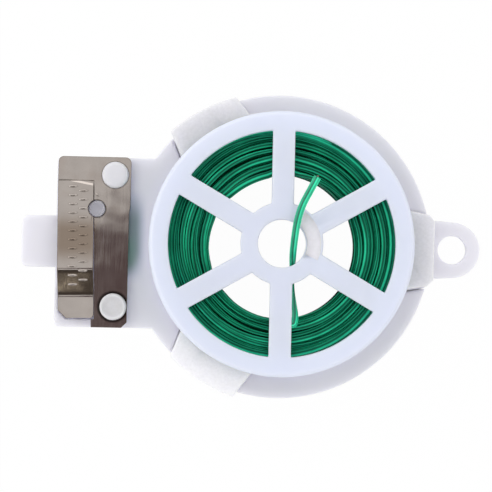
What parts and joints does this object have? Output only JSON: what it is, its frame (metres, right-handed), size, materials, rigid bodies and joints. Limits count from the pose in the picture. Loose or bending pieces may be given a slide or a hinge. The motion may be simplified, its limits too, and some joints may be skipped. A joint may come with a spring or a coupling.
{
  "type": "tie wire spool",
  "caption": "Flat dispenser for green tie wire: a spool with spoked flanges turns in three snap hooks on a white base with a hanging tab and a press-down sheet-metal cutter.",
  "frame": {"origin": "middle of the object's plan, at the level of the base's back face", "axes": "+X towards the hanging tab, +Y towards the upper snap hook, +Z out of the spool's face"},
  "size_m": [0.1286, 0.085, 0.023],
  "materials": {
    "base_plastic": "satin moulded polystyrene, white with a cool cast",
    "spool_plastic": "satin moulded polystyrene, white with a cool cast",
    "plated_steel": "thin spring steel, nickel plated, satin with darker reflections",
    "tie_plastic": "soft green plastic coating over a thin steel core"
  },
  "bodies": {
    "base": {"base_ring": "base_plastic", "cutter_base": "base_plastic", "hang_tab": "base_plastic", "snap_hook_upper_left": "base_plastic", "snap_hook_lower_left": "base_plastic", "snap_hook_right": "base_plastic", "cutter_ledge": "base_plastic", "upper_stake": "base_plastic", "lower_stake": "base_plastic", "locating_pin": "base_plastic", "cutter_plate": "plated_steel"},
    "spool": {"front_flange": "spool_plastic", "rear_flange": "spool_plastic", "wire_pack": "tie_plastic", "wire_turns": "tie_plastic", "wire_tail": "tie_plastic"},
    "leg": {"press_leg": "plated_steel"}
  },
  "joints": [
    {"name": "spool_turn", "type": "hinge", "parent": "base", "child": "spool", "pos_m": [0.0079, 0, 0.0031], "axis": [0, 0, 1], "continuous": true},
    {"name": "leg_press", "type": "hinge", "parent": "base", "child": "leg", "pos_m": [-0.04925, 0.0169, 0.004], "axis": [0.9997, 0.0244, 0], "range_deg": [0, 5.7], "stiffness_Nm_per_rad": 2.5}
  ]
}
